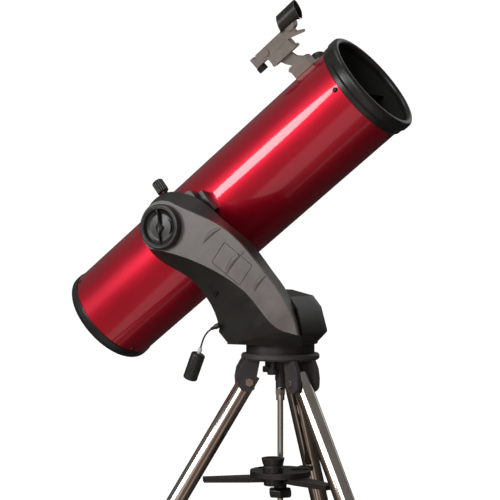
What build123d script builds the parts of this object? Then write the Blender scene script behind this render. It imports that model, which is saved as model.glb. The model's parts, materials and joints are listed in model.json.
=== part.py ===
"""A 150 mm Newtonian telescope on a one-armed, motor-driven altitude-azimuth mount and a steel tripod.

Millimetres, +Z up.  The origin is on the floor under the azimuth axis.  +X is the way the tube's mouth
faces in plan, and the tube is on the +Y side of the arm.
"""

from build123d import *
import math
import os

os.makedirs("parts", exist_ok=True)

# ---------------------------------------------------------------- driving dimensions
# Optical tube
tube_radius = 91.0
tube_wall = 1.2
tube_tilt = 37.3
tube_back = -268.0
tube_length = 664.0
rear_cap_back = -276.0
rear_cap_length = 21.0
rear_cap_proud = 2.0
front_ring_length = 30.0
front_ring_proud = 5.5
front_lip_inner = 84.0
mirror_radius = 77.0
mirror_thickness = 22.0
mirror_front = -222.0
secondary_radius = 22.0
focuser_place = 319.0
focuser_turn = 36.0
spider_place = 370.0
vane_depth = 18.0
vane_thickness = 1.0

# Mount head
flange_top = 700.0
altitude_x = -171.0
altitude_height = 214.5
tube_near = 41.0
arm_back = 72.0
arm_depth = 28.0
panel_thickness = 6.0
head_back_radius = 61.5
head_front_radius = 45.0
knob_radius = 39.0
knob_depth = 13.0
altitude_shaft_radius = 15.0
knob_stub_radius = 6.0
saddle_start = -50.0
saddle_length = 116.0
saddle_height = 66.0
saddle_depth = 22.0
bar_start = -58.0
bar_length = 136.0
bar_width = 44.0
bar_flare = 15.0

# Drum under the arm
drum_radius = 80.0
drum_height = 88.0
drum_wall = 3.0
azimuth_ring_radius = 58.5
azimuth_ring_height = 16.0
azimuth_shaft_radius = 12.0

# Tripod
leg_splay = 31.0
leg_azimuths = (216.6, -23.4, 96.6)
leg_radius = 15.875
leg_wall = 1.2
leg_tube_length = 575.0
leg_cap = 3.0
inner_leg_radius = 12.7
inner_leg_start = 300.0
inner_leg_end = 745.0
hinge_reach = 57.0
hinge_height = 652.0
ear_thickness = 8.0
hinge_bolt_radius = 4.0
collar_radius = 21.0
collar_length = 45.0
foot_radius = 16.5
foot_length = 50.0
flange_radius = 67.0
flange_thickness = 11.0
rod_radius = 5.0
rod_bottom = 255.0
rod_top = 696.0
coupling_radius = 8.0
coupling_bottom = 641.0
tray_top = 500.0
tray_thickness = 10.0
tray_hub_radius = 52.0
tray_reach = 132.0
eyepiece_hole_reach = 34.0
support_knob_radius = 22.0

# Standard eyepiece barrel and fits
barrel_radius = 15.875
running_clearance = 0.05
slide_clearance = 0.08
gap = 0.3
seam_gap = 0.4

# ---------------------------------------------------------------- frames
tilt = math.radians(tube_tilt)
altitude_z = flange_top + altitude_height
along = Vector(math.cos(tilt), 0, math.sin(tilt))
upward = Vector(-math.sin(tilt), 0, math.cos(tilt))
tube_side_offset = tube_radius - tube_near
tube = Plane(origin=(altitude_x, tube_side_offset, altitude_z), x_dir=upward, z_dir=along)
tube_axis = Axis(tube.origin, along)
tube_section = Plane(origin=tube.origin, x_dir=upward, z_dir=(0, 1, 0))
# x along the tube, y up across it, z out towards the clutch knob: offset(h) is the plane Y = -h
cradle = Plane(origin=(altitude_x, 0, altitude_z), x_dir=along, z_dir=(0, -1, 0))
# The same plane with x level and y upright
arm = Plane(origin=(altitude_x, 0, altitude_z), x_dir=(1, 0, 0), z_dir=(0, -1, 0))
tube_front = tube_back + tube_length


def radial_plane(turn, reach, place):
    """A plane on the tube: z outwards, x along it; turn is in degrees from its top to the far side."""
    out = upward * math.cos(math.radians(turn)) + Vector(0, 1, 0) * math.sin(math.radians(turn))
    return Plane(origin=tube.origin + along * place + out * reach, x_dir=along, z_dir=out)


def leg_frame(azimuth):
    """The leg's plane: origin at its hinge, x along the hinge pin, y out of its top, z down it."""
    turn = math.radians(azimuth)
    splay = math.radians(leg_splay)
    out = Vector(math.cos(turn), math.sin(turn), 0)
    pin = Vector(-math.sin(turn), math.cos(turn), 0)
    hinge = out * hinge_reach + Vector(0, 0, hinge_height)
    return Plane(origin=hinge, x_dir=pin, z_dir=out * math.sin(splay) - Vector(0, 0, math.cos(splay)))


def polar(reach, azimuth):
    """A point in plan at that distance and direction from the azimuth axis."""
    return (reach * math.cos(math.radians(azimuth)), reach * math.sin(math.radians(azimuth)))


def finish(builder, name):
    """Name the piece and write its file."""
    builder.part.label = name
    export_step(builder.part, f"parts/{name}.step")


# ================================================================ optical tube
with BuildPart() as main_tube:
    with BuildSketch(tube.offset(tube_back)):
        Circle(tube_radius)
        Circle(tube_radius - tube_wall, mode=Mode.SUBTRACT)
    extrude(amount=tube_length)
    with BuildSketch(radial_plane(focuser_turn, tube_radius - 8, focuser_place)):
        Circle(24)
    extrude(amount=16, mode=Mode.SUBTRACT)
finish(main_tube, "main_tube")

ring_back = tube_front - 18
ring_front = ring_back + front_ring_length
ring_radius = tube_radius + front_ring_proud
with BuildPart() as front_ring:
    with BuildSketch(tube_section):
        with BuildLine():
            Polyline(
                (tube_radius, ring_back), (tube_radius + 2, ring_back), (tube_radius + 3, ring_back + 2),
                (tube_radius + 3, ring_back + 9), (ring_radius - 1, ring_back + 11),
                (ring_radius, ring_back + 13),
                (ring_radius, ring_front - 4), (ring_radius - 4, ring_front),
                (front_lip_inner + 3, ring_front),
                (front_lip_inner, ring_front - 3), (front_lip_inner, tube_front),
                (tube_radius, tube_front),
                close=True,
            )
        make_face()
    revolve(axis=tube_axis)
finish(front_ring, "front_ring")

cap_radius = tube_radius + rear_cap_proud
cap_seam = rear_cap_back + rear_cap_length
cap_opening = 60.0
screw_circle = 70.0
with BuildPart() as rear_cap:
    with BuildSketch(tube_section):
        with BuildLine():
            Polyline(
                (tube_radius, cap_seam), (cap_radius, cap_seam), (cap_radius, rear_cap_back + 6),
                (cap_radius - 2, rear_cap_back + 2), (cap_radius - 6, rear_cap_back),
                (cap_radius - 12, rear_cap_back),
                (cap_radius - 14, rear_cap_back + 4), (cap_opening, rear_cap_back + 4),
                (cap_opening, tube_back), (tube_radius, tube_back),
                close=True,
            )
        make_face()
    revolve(axis=tube_axis)
    with BuildSketch(tube.offset(rear_cap_back)):
        with PolarLocations(screw_circle, 3):
            Circle(3.2)
    extrude(amount=rear_cap_length, mode=Mode.SUBTRACT)
finish(rear_cap, "rear_cap")

cell_back = mirror_front - mirror_thickness - 10
with BuildPart() as mirror_cell:
    with BuildSketch(tube.offset(cell_back)):
        Circle(mirror_radius + 8)
        Circle(22, mode=Mode.SUBTRACT)
    extrude(amount=10)
    with BuildSketch(tube.offset(cell_back + 10)):
        with PolarLocations(mirror_radius + 4, 3, start_angle=60):
            Rectangle(6, 16)
    extrude(amount=mirror_thickness)
finish(mirror_cell, "mirror_cell")

with BuildPart() as primary_mirror:
    with BuildSketch(tube.offset(mirror_front - mirror_thickness)):
        Circle(mirror_radius)
    extrude(amount=mirror_thickness)
    # the hollow of the mirror, 2 mm deep at its middle
    sphere_radius = (mirror_radius**2 + 2.0**2) / (2 * 2.0)
    sphere_middle = tube.origin + along * (mirror_front - 2.0 + sphere_radius)
    sphere = Solid.make_sphere(sphere_radius, angle1=-90, angle2=90)
    add(sphere.moved(Location(sphere_middle)), mode=Mode.SUBTRACT)
finish(primary_mirror, "primary_mirror")

with BuildPart() as collimation_screws:
    with BuildSketch(tube.offset(rear_cap_back + 4 - 5)):
        with PolarLocations(screw_circle, 3):
            Circle(6.5)
    extrude(amount=5)
    with BuildSketch(tube.offset(rear_cap_back + 4)):
        with PolarLocations(screw_circle, 3):
            Circle(3.0)
    extrude(amount=cell_back - rear_cap_back - 4)
finish(collimation_screws, "collimation_screws")

hub_radius = 11.0
inner_radius = tube_radius - tube_wall
with BuildPart() as spider:
    with BuildSketch(tube.offset(spider_place - vane_depth / 2)):
        Circle(hub_radius)
        with PolarLocations((hub_radius + inner_radius) / 2 - 0.5, 4):
            Rectangle(inner_radius - hub_radius + 0.6, vane_thickness)
    extrude(amount=vane_depth)
finish(spider, "spider")

mirror_face = Plane(
    origin=tube.origin + along * focuser_place,
    z_dir=radial_plane(focuser_turn, 0, 0).z_dir - along,
)
with BuildPart() as secondary_mirror:
    with BuildSketch(tube.offset(focuser_place - 40)):
        Circle(secondary_radius)
    extrude(amount=80)
    split(bisect_by=mirror_face, keep=Keep.BOTTOM)
    split(bisect_by=mirror_face.offset(-6), keep=Keep.TOP)
finish(secondary_mirror, "secondary_mirror")

with BuildPart() as secondary_holder:
    with BuildSketch(tube.offset(focuser_place - 40)):
        Circle(secondary_radius - 1)
    extrude(amount=69)
    with BuildSketch(tube.offset(focuser_place + 29)):
        Circle(5)
    extrude(amount=spider_place - vane_depth / 2 - focuser_place - 29)
    split(bisect_by=mirror_face.offset(-6), keep=Keep.BOTTOM)
finish(secondary_holder, "secondary_holder")

with BuildPart() as tube_screws:
    for turn in (-90, 0, 90, 180):
        with BuildSketch(radial_plane(turn, tube_radius, spider_place)):
            Circle(4.5)
        extrude(amount=3.5, taper=18)
    for turn in (-162, -42, 78):
        with BuildSketch(radial_plane(turn, tube_radius, cap_seam + 6)):
            Circle(3.5)
        extrude(amount=2.0, taper=18)
finish(tube_screws, "tube_screws")

# ---------------------------------------------------------------- dovetail bar
bar_face = arm_back - 14.5
bar_depth = 14.0
with BuildPart() as dovetail_bar:
    with BuildSketch(Plane(origin=cradle.origin + along * bar_start, x_dir=upward, z_dir=along)):
        with BuildLine():
            slope = math.tan(math.radians(bar_flare)) * bar_depth
            Polyline(
                (-bar_width / 2, bar_face), (bar_width / 2, bar_face),
                (bar_width / 2 - slope, bar_face - bar_depth), (bar_width / 2 - slope, tube_near - 8),
                (-bar_width / 2 + slope, tube_near - 8), (-bar_width / 2 + slope, bar_face - bar_depth),
                close=True,
            )
        make_face()
    extrude(amount=bar_length)
    with BuildSketch(tube.offset(-bar_length)):
        Circle(tube_radius)
    extrude(amount=2 * bar_length, mode=Mode.SUBTRACT)
finish(dovetail_bar, "dovetail_bar")

# ---------------------------------------------------------------- focuser
drawtube_radius = 18.0
focus_shaft_reach = 112.0
focus_shaft_side = drawtube_radius + 7.0
focuser_height = 35.0
focuser_top = tube_radius + focuser_height
with BuildPart() as focuser_base:
    with BuildSketch(radial_plane(focuser_turn, tube_radius - 22, focuser_place)):
        RectangleRounded(78, 66, 10)
    extrude(amount=26)
    with BuildSketch(radial_plane(focuser_turn, tube_radius, focuser_place)):
        Circle(27)
    extrude(amount=focuser_top - tube_radius)
    with BuildSketch(radial_plane(focuser_turn, focus_shaft_reach - 9, focuser_place)):
        with Locations((0, focus_shaft_side)):
            Rectangle(34, 20)
    extrude(amount=18)
    with BuildSketch(tube.offset(focuser_place - 60)):
        Circle(tube_radius)
    extrude(amount=120, mode=Mode.SUBTRACT)
    with BuildSketch(radial_plane(focuser_turn, tube_radius - 30, focuser_place)):
        Circle(drawtube_radius + slide_clearance)
    extrude(amount=80, mode=Mode.SUBTRACT)
    shaft_line = radial_plane(focuser_turn, focus_shaft_reach, focuser_place - 40)
    focus_axis_start = shaft_line.from_local_coords(Vector(0, focus_shaft_side, 0))
    with BuildSketch(Plane(origin=focus_axis_start, z_dir=along)):
        Circle(3 + running_clearance)
    extrude(amount=80, mode=Mode.SUBTRACT)
finish(focuser_base, "focuser_base")

with BuildPart() as focus_knobs:
    with BuildSketch(Plane(origin=focus_axis_start, z_dir=along)):
        Circle(3)
    extrude(amount=80)
    for start in (0.0, 66.0):
        with BuildSketch(Plane(origin=focus_axis_start + along * start, z_dir=along)):
            Circle(14)
        extrude(amount=14)
        with BuildSketch(Plane(origin=focus_axis_start + along * start, z_dir=along)):
            with PolarLocations(14.4, 24):
                Circle(0.9)
        extrude(amount=14, mode=Mode.SUBTRACT)
finish(focus_knobs, "focus_knobs")

drawtube_bottom = tube_radius - 6
drawtube_top = 146.0
with BuildPart() as drawtube:
    with BuildSketch(radial_plane(focuser_turn, drawtube_bottom, focuser_place)):
        Circle(drawtube_radius)
    extrude(amount=drawtube_top - drawtube_bottom)
    with BuildSketch(radial_plane(focuser_turn, focuser_top + 4, focuser_place)):
        Circle(21)
    extrude(amount=drawtube_top - focuser_top - 4)
    with BuildSketch(radial_plane(focuser_turn, drawtube_bottom, focuser_place)):
        Circle(barrel_radius + running_clearance)
    extrude(amount=drawtube_top - drawtube_bottom, mode=Mode.SUBTRACT)
finish(drawtube, "drawtube")


def eyepiece_profile(shoulder, barrel, body, cup):
    """Half the section of an eyepiece, x its radius and y its height, with the shoulder where stated."""
    return [
        (0, shoulder - barrel), (barrel_radius - 1, shoulder - barrel),
        (barrel_radius, shoulder - barrel + 1),
        (barrel_radius, shoulder), (body, shoulder), (body, shoulder + 9), (body - 1.2, shoulder + 10),
        (body - 1.2, shoulder + 14), (body, shoulder + 15), (cup, shoulder + 23), (cup, shoulder + 25),
        (cup - 4, shoulder + 25), (cup - 7, shoulder + 20), (0, shoulder + 20),
    ]


with BuildPart() as eyepiece:
    holder = radial_plane(focuser_turn, 0, focuser_place)
    with BuildSketch(Plane(origin=holder.origin, x_dir=along, z_dir=holder.y_dir * -1)):
        with BuildLine():
            Polyline(*eyepiece_profile(drawtube_top, 24, 17.0, 17.5), close=True)
        make_face()
    revolve(axis=Axis(holder.origin, holder.z_dir))
finish(eyepiece, "eyepiece")

# ---------------------------------------------------------------- red-dot finder
finder_turn = -19.0
finder_width = 20.0
foot_back = 311.0
foot_front = 349.0
foot_height = 21.0
with BuildPart() as finder_shoe:
    with BuildSketch(radial_plane(finder_turn, tube_radius - 5, (foot_back + foot_front) / 2)):
        Rectangle(foot_front - foot_back, 34)
    extrude(amount=19)
    with BuildSketch(tube.offset(foot_back - 5)):
        Circle(tube_radius)
    extrude(amount=foot_front - foot_back + 10, mode=Mode.SUBTRACT)
finish(finder_shoe, "finder_shoe")

# x along the tube, y outwards from its wall, z across the finder towards the arm's side
finder_out = radial_plane(finder_turn, 0, 0).z_dir
finder_foot = tube.origin + finder_out * tube_radius
finder_plane = Plane(origin=finder_foot, x_dir=along, z_dir=along.cross(finder_out))
half_width = finder_width / 2
bracket_slabs = (
    ([(foot_back - 2, 14), (foot_front, 14), (foot_front, 17), (foot_front - 4, foot_height),
      (foot_back + 2, foot_height), (foot_back - 2, 18)], 30),
    ([(318, foot_height), (342, foot_height), (334, 29), (331, 40), (306, 40), (311, 30)], 12),
    ([(294, 40), (347.5, 40), (347.5, 45.3), (294, 45.3)], 26),
    ([(294.5, 45.3), (344, 45.3), (344, 58), (294.5, 58)], finder_width + 4),
)
finder_pin_radius = 3.0
finder_pin_depth = 6.0
finder_pin = Plane(origin=finder_plane.from_local_coords(Vector(334, 58.3, 0)), z_dir=finder_out * -1)
with BuildPart() as finder_bracket:
    for outline, width in bracket_slabs:
        with BuildSketch(finder_plane.offset(-width / 2)):
            with BuildLine():
                Polyline(*outline, close=True)
            make_face()
        extrude(amount=width)
    with BuildSketch(finder_pin):
        Circle(finder_pin_radius + running_clearance)
    extrude(amount=finder_pin_depth + gap, mode=Mode.SUBTRACT)
finish(finder_bracket, "finder_bracket")

finder_pivot = (361.4, 75.5)
with BuildPart() as finder_rail:
    with BuildSketch(finder_plane.offset(-half_width)):
        with BuildLine():
            Polyline((268, 58.3), (346, 58.3), (371, 50), (373, 54), (361, 61), (366, 85), (352, 77),
                     (281, 77), (281, 73), (275, 73), (275, 77), (268, 77), close=True)
        make_face()
    extrude(amount=finder_width)
    with BuildSketch(finder_plane.offset(-half_width - 3)):
        with Locations(finder_pivot):
            Circle(9.8)
    extrude(amount=finder_width + 6)
    with BuildSketch(finder_plane.offset(-half_width - 2)):
        with Locations((298, 69)):
            Circle(7)
    extrude(amount=finder_width + 4)
    with BuildSketch(finder_pin):
        Circle(finder_pin_radius)
    extrude(amount=finder_pin_depth)
finish(finder_rail, "finder_rail")

with BuildPart() as finder_dial:
    with BuildSketch(Plane(origin=finder_plane.from_local_coords(Vector(273, 48.5, 0)), z_dir=finder_out)):
        Circle(9)
        with PolarLocations(9.4, 20):
            Circle(0.9, mode=Mode.SUBTRACT)
    extrude(amount=9.5)
finish(finder_dial, "finder_dial")

hood_outer = 17.0
with BuildPart() as finder_hood:
    with BuildSketch(Plane(origin=finder_plane.from_local_coords(Vector(338, 85, 0)), z_dir=along)):
        Circle(hood_outer)
        Circle(hood_outer - 1.6, mode=Mode.SUBTRACT)
    extrude(amount=60)
    with BuildSketch(finder_plane.offset(-40)):
        with BuildLine():
            Polyline((330, 59), (345, 78), (353, 100), (353, 109), (330, 109), close=True)
        make_face()
    extrude(amount=80, mode=Mode.SUBTRACT)
    with BuildSketch(finder_plane.offset(-40)):
        with BuildLine():
            Polyline((394.5, 102), (387, 79), (379, 63), (374, 59), (420, 59), (420, 102), close=True)
        make_face()
    extrude(amount=80, mode=Mode.SUBTRACT)
    with BuildSketch(finder_plane.offset(-half_width - 3.3)):
        with BuildLine():
            Polyline((330, 49), (400, 49), (367, 87), (330, 87), close=True)
        make_face()
    extrude(amount=finder_width + 6.6, mode=Mode.SUBTRACT)
finish(finder_hood, "finder_hood")

# ================================================================ cradle that carries the tube
saddle_face = arm_back - 1.5
with BuildPart() as saddle:
    with BuildSketch(cradle.offset(saddle_face - saddle_depth)):
        with Locations((saddle_start + saddle_length / 2, 0)):
            RectangleRounded(saddle_length, saddle_height, 10)
    extrude(amount=saddle_depth)
    with BuildSketch(Plane(origin=cradle.origin - along * saddle_length, x_dir=upward, z_dir=along)):
        with BuildLine():
            top = bar_width / 2 + gap
            floor = bar_face + gap
            narrow = top - math.tan(math.radians(bar_flare)) * 40
            Polyline((-top, floor), (top, floor), (narrow, floor - 40), (-narrow, floor - 40), close=True)
        make_face()
    extrude(amount=2 * saddle_length, mode=Mode.SUBTRACT)
    screw_place = 13.0
    screw_height = bar_face - 6
    screw_start = cradle.from_local_coords(Vector(screw_place, bar_width / 2 - 4, screw_height))
    with BuildSketch(Plane(origin=screw_start, z_dir=upward)):
        Circle(4 + running_clearance)
    extrude(amount=60, mode=Mode.SUBTRACT)
finish(saddle, "saddle")

screw_tip = cradle.from_local_coords(Vector(screw_place, bar_width / 2 + 0.6, screw_height))
screw_head = cradle.from_local_coords(Vector(screw_place, 68, screw_height))
with BuildPart() as saddle_screw:
    with BuildSketch(Plane(origin=screw_tip, z_dir=upward)):
        Circle(4)
    extrude(amount=68 - bar_width / 2)
    with BuildSketch(Plane(origin=screw_head, z_dir=upward)):
        Circle(10.5)
        with PolarLocations(11.2, 18):
            Circle(1.5, mode=Mode.SUBTRACT)
    extrude(amount=24)
finish(saddle_screw, "saddle_screw")

panel_face = arm_back + arm_depth + panel_thickness
wheel_radius = 36.0
wheel_depth = 8.0
wheel_place = arm_back + 10
with BuildPart() as altitude_shaft:
    with BuildSketch(cradle.offset(saddle_face)):
        Circle(altitude_shaft_radius)
    extrude(amount=panel_face - saddle_face)
    with BuildSketch(cradle.offset(panel_face)):
        Circle(knob_stub_radius)
    extrude(amount=5)
    with BuildSketch(cradle.offset(wheel_place)):
        Circle(wheel_radius)
        with PolarLocations(wheel_radius + 0.3, 60):
            Circle(0.9, mode=Mode.SUBTRACT)
    extrude(amount=wheel_depth)
finish(altitude_shaft, "altitude_shaft")

with BuildPart() as altitude_knob:
    with BuildSketch(cradle.offset(panel_face + gap)):
        Circle(knob_radius)
    extrude(amount=knob_depth - gap)
    fillet(altitude_knob.edges().filter_by(GeomType.CIRCLE).group_by(Axis.Y)[0], 2.5)
    with BuildSketch(cradle.offset(panel_face + 5)):
        Circle(knob_radius - 6)
        Rectangle(7, 2 * knob_radius, rotation=55, mode=Mode.SUBTRACT)
        Ellipse(15, 9, rotation=55, mode=Mode.SUBTRACT)
    extrude(amount=knob_depth, mode=Mode.SUBTRACT)
    with BuildSketch(cradle.offset(panel_face)):
        Circle(knob_stub_radius + running_clearance)
    extrude(amount=5, mode=Mode.SUBTRACT)
finish(altitude_knob, "altitude_knob")

# ================================================================ arm
# Outlines in the arm's plane, x and height from the altitude axis.  The back is larger than the front.
head_start = 70.0
head_end = 235.0


def head_point(radius, angle):
    """A point on the round of the head."""
    return (radius * math.cos(math.radians(angle)), radius * math.sin(math.radians(angle)))


foot_level = azimuth_ring_height + 1.0 - altitude_height
back_top = [(63, 41), (105, 9), (157, -30), (195, -74), (220, -105), (240, -150)]
back_bottom = [(99, -183), (84, -147), (67, -120), (33, -87), (8, -74)]
front_top = [(64, 22.5), (119, -2.6), (162, -38), (200, -80), (237, -127.5)]
front_bottom = [(212, -161), (175, -122), (149, -100), (98, -72), (51, -54)]
back_right = (250, foot_level)
back_left = (115, foot_level)
front_right = (258, foot_level + 20)
front_left = (232, foot_level + 26)
back_outline = (head_back_radius, back_top, back_right, back_left, back_bottom)
front_outline = (head_front_radius, front_top, front_right, front_left, front_bottom)
with BuildPart() as arm_shell:
    for level, outline in ((arm_back, back_outline), (arm_back + arm_depth, front_outline)):
        radius, top, foot_right, foot_left, bottom = outline
        start = head_point(radius, head_start)
        end = head_point(radius, head_end)
        with BuildSketch(arm.offset(level)):
            with BuildLine():
                ThreePointArc(end, (-radius, 0), start)
                Spline(start, *top, foot_right)
                Line(foot_right, foot_left)
                Spline(foot_left, *bottom, end)
            make_face()
    loft()
    with BuildSketch(arm.offset(arm_back + 4)):
        Circle(head_front_radius - 5)
        with BuildLine():
            Polyline((20, 24), (64, 12), (112, -12), (155, -50), (190, -88), (222, -128), (232, -150),
                     (212, -148), (178, -112), (150, -90), (96, -62), (40, -44), (0, -36), close=True)
        make_face()
    extrude(amount=arm_depth, mode=Mode.SUBTRACT)
    with BuildSketch(arm.offset(arm_back)):
        Circle(altitude_shaft_radius + running_clearance)
    extrude(amount=4, mode=Mode.SUBTRACT)

door_middle = (136, -62)
door_turn = -36.0
door_length = 66.0
door_width = 42.0
with BuildPart() as arm_panel:
    with BuildSketch(arm.offset(arm_back + arm_depth)):
        with BuildLine():
            start = head_point(head_front_radius, head_start)
            end = head_point(head_front_radius, head_end)
            ThreePointArc(end, (-head_front_radius, 0), start)
            Spline(start, *front_top, front_right)
            Line(front_right, front_left)
            Spline(front_left, *front_bottom, end)
        make_face()
    extrude(amount=panel_thickness)
    with BuildSketch(arm.offset(arm_back + arm_depth)):
        Circle(altitude_shaft_radius + running_clearance)
        with Locations(door_middle):
            RectangleRounded(door_length, door_width, 3, rotation=door_turn)
    extrude(amount=panel_thickness, mode=Mode.SUBTRACT)
finish(arm_panel, "arm_panel")

with BuildPart() as battery_door:
    with BuildSketch(arm.offset(arm_back + arm_depth + 1)):
        with Locations(door_middle):
            RectangleRounded(
                door_length - 2 * seam_gap, door_width - 2 * seam_gap, 3 - seam_gap, rotation=door_turn
            )
    extrude(amount=panel_thickness - 1)
finish(battery_door, "battery_door")

holder_middle = (135, -60)
cell_radius = 7.0
cell_length = 48.0
with BuildPart() as battery_holder:
    with BuildSketch(arm.offset(arm_back + 4)):
        with Locations(holder_middle):
            Rectangle(cell_length + 4, 4 * cell_radius, rotation=door_turn)
    extrude(amount=4)
    for side in (-cell_radius, cell_radius):
        cell_line = arm.offset(arm_back + 8 + cell_radius)
        middle = cell_line.from_local_coords(Vector(holder_middle[0], holder_middle[1], 0))
        run = Vector(math.cos(math.radians(door_turn)), 0, math.sin(math.radians(door_turn)))
        across = Vector(-math.sin(math.radians(door_turn)), 0, math.cos(math.radians(door_turn)))
        with BuildSketch(Plane(origin=middle + across * side - run * cell_length / 2, z_dir=run)):
            Circle(cell_radius)
        extrude(amount=cell_length)
finish(battery_holder, "battery_holder")

# ================================================================ drum and azimuth drive
drum_bottom = flange_top + azimuth_ring_height + 3.5
drum_top = flange_top + azimuth_ring_height + 4 + drum_height


def drum_profile(inset):
    """Half the drum's section, in plan radius and height, drawn in by that much."""
    r = drum_radius - inset
    top = drum_top - inset
    return [(0, top), (20, top), (56 - inset, top - 10), (70 - inset, top - 29), (r, top - 68),
            (r, drum_bottom + 17), (64 - inset, drum_bottom), (0, drum_bottom)]


with BuildPart() as base_housing:
    for inset, mode in ((0, Mode.ADD), (drum_wall, Mode.SUBTRACT)):
        with BuildSketch(Plane.XZ):
            with BuildLine():
                Polyline(*drum_profile(inset), close=True)
            make_face()
        revolve(axis=Axis.Z, mode=mode)
        with BuildSketch(Plane.XZ):
            with BuildLine():
                Polyline(*drum_profile(inset), close=True)
            make_face()
            mirror(about=Plane.YZ)
        extrude(amount=arm_back - gap, mode=mode)
    with BuildSketch(Plane.XZ.offset(arm_back - gap)):
        with Locations((0, flange_top)):
            Rectangle(400, 400)
    extrude(amount=100, mode=Mode.SUBTRACT)
finish(base_housing, "base_housing")

with BuildPart() as base_plate:
    with BuildSketch(Plane.XY.offset(flange_top + azimuth_ring_height + gap)):
        Circle(64)
        with Locations((0, -(arm_back - gap) / 2)):
            Rectangle(128, arm_back - gap)
        Circle(azimuth_shaft_radius + running_clearance, mode=Mode.SUBTRACT)
    extrude(amount=drum_bottom - flange_top - azimuth_ring_height - gap)
finish(base_plate, "base_plate")

azimuth_wheel_radius = 40.0
azimuth_wheel_level = flange_top + 34.0
with BuildPart() as azimuth_base:
    with BuildSketch(Plane.XY.offset(flange_top)):
        Circle(azimuth_ring_radius)
    extrude(amount=azimuth_ring_height)
    with BuildSketch(Plane.XY.offset(flange_top + azimuth_ring_height)):
        Circle(azimuth_shaft_radius)
    extrude(amount=40)
    with BuildSketch(Plane.XY.offset(azimuth_wheel_level)):
        Circle(azimuth_wheel_radius)
        with PolarLocations(azimuth_wheel_radius + 0.3, 72):
            Circle(0.9, mode=Mode.SUBTRACT)
    extrude(amount=8)
    with BuildSketch(Plane.XY.offset(flange_top)):
        with PolarLocations(33, 3, start_angle=leg_azimuths[0] + 60):
            Circle(4)
    extrude(amount=12, mode=Mode.SUBTRACT)
finish(azimuth_base, "azimuth_base")

worm_radius = 4.0
motor_size = 14.0
azimuth_worm = Plane(
    origin=(-15, azimuth_wheel_radius + worm_radius + 1, azimuth_wheel_level + 4), z_dir=(1, 0, 0)
)
altitude_worm_start = arm.from_local_coords(
    Vector(wheel_radius + worm_radius + 1.5, 12, wheel_place + wheel_depth / 2)
)
altitude_worm = Plane(origin=altitude_worm_start, z_dir=(0, 0, -1))
with BuildPart() as drive_units:
    for worm in (azimuth_worm, altitude_worm):
        with BuildSketch(worm):
            Circle(worm_radius)
        extrude(amount=32)
        with BuildSketch(worm.offset(32)):
            RectangleRounded(motor_size, motor_size, 2)
        extrude(amount=20)
finish(drive_units, "drive_units")

board_level = flange_top + 62.0
with BuildPart() as drive_board:
    with BuildSketch(Plane.XY.offset(board_level)):
        with Locations((0, -20)):
            Rectangle(90, 60)
    extrude(amount=1.6)
    with BuildSketch(Plane.XY.offset(board_level + 1.6)):
        with GridLocations(26, 22, 3, 2):
            with Locations((0, -20)):
                Rectangle(10, 8)
    extrude(amount=3)
finish(drive_board, "drive_board")

# ---------------------------------------------------------------- rocker switch on the arm's lower flank
switch_middle = Vector(86, -106, arm_back + 8)
flank_edge = Vector(0.72, -0.69, 0)
flank_slope = Vector(70, 15, arm_depth)
flank_normal = flank_edge.cross(flank_slope)
switch_plane = Plane(
    origin=arm.from_local_coords(switch_middle),
    x_dir=arm.from_local_coords(flank_edge) - arm.origin,
    z_dir=arm.from_local_coords(flank_normal) - arm.origin,
)
rocker_length = 15.0
rocker_width = 9.0
rocker_pin_radius = 1.5
rocker_pin_length = rocker_width + 4
rocker_pin = Plane(
    origin=switch_plane.from_local_coords(Vector(0, -rocker_pin_length / 2, 0)), z_dir=switch_plane.y_dir
)
with BuildPart() as switch_frame:
    with BuildSketch(switch_plane.offset(-3)):
        RectangleRounded(rocker_length + 7, rocker_width + 6, 2)
        Rectangle(rocker_length + 2 * gap, rocker_width + 2 * gap, mode=Mode.SUBTRACT)
    extrude(amount=7)
with BuildPart() as power_rocker:
    with BuildSketch(switch_plane.offset(-2)):
        Rectangle(rocker_length - 1, rocker_width)
    extrude(amount=7)
    with BuildSketch(rocker_pin):
        Circle(rocker_pin_radius)
    extrude(amount=rocker_pin_length)
finish(power_rocker, "power_rocker")

# ---------------------------------------------------------------- wireless dongle hanging on its lead
lead_diameter = 3.0
port_radius = 4.5
port_length = 9.0
lead_route = [
    (-81, -82, 745.5), (-92, -82.5, 740.5), (-100.5, -83.5, 730.5), (-105, -84.5, 719.5), (-107.6, -85, 710)
]
dongle_fall = Vector(-18.7, 0, -46.5)
dongle_length = 48.0
dongle_radius = 12.3
plug_length = 10.5
plug_plane = Plane(origin=lead_route[-1], z_dir=dongle_fall)
port_plane = Plane(origin=lead_route[0], z_dir=Vector(*lead_route[0]) - Vector(*lead_route[1]))


def bend_radii(route):
    """One radius for each corner: 0.45 of the shorter run over the tangent of half the turn."""
    points = [Vector(*point) for point in route]
    radii = []
    for before, corner, after in zip(points, points[1:], points[2:]):
        arriving = corner - before
        leaving = after - corner
        half_turn = math.radians(arriving.get_angle(leaving)) / 2
        radii.append(0.45 * min(arriving.length, leaving.length) / math.tan(half_turn))
    return radii


lead_radii = bend_radii(lead_route)
print("lead radii", [round(radius, 1) for radius in lead_radii])
with BuildPart() as wifi_lead:
    with BuildLine() as lead_line:
        FilletPolyline(*lead_route, radius=lead_radii)
    with BuildSketch(Plane(origin=lead_line.line @ 0, z_dir=lead_line.line % 0)):
        Circle(lead_diameter / 2)
    sweep()
lead_area = math.pi * lead_diameter**2 / 4
lead_length = sum(edge.length for edge in lead_line.line.edges())
print("lead length", round(lead_length, 2), "by volume", round(wifi_lead.part.volume / lead_area, 2))
finish(wifi_lead, "wifi_lead")

with BuildPart() as lead_port:
    with BuildSketch(port_plane):
        Circle(port_radius)
    extrude(amount=port_length)
finish(lead_port, "lead_port")

with BuildPart() as lead_plug:
    with BuildSketch(plug_plane):
        RectangleRounded(8, 6, 1)
    extrude(amount=plug_length)
finish(lead_plug, "lead_plug")

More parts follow.
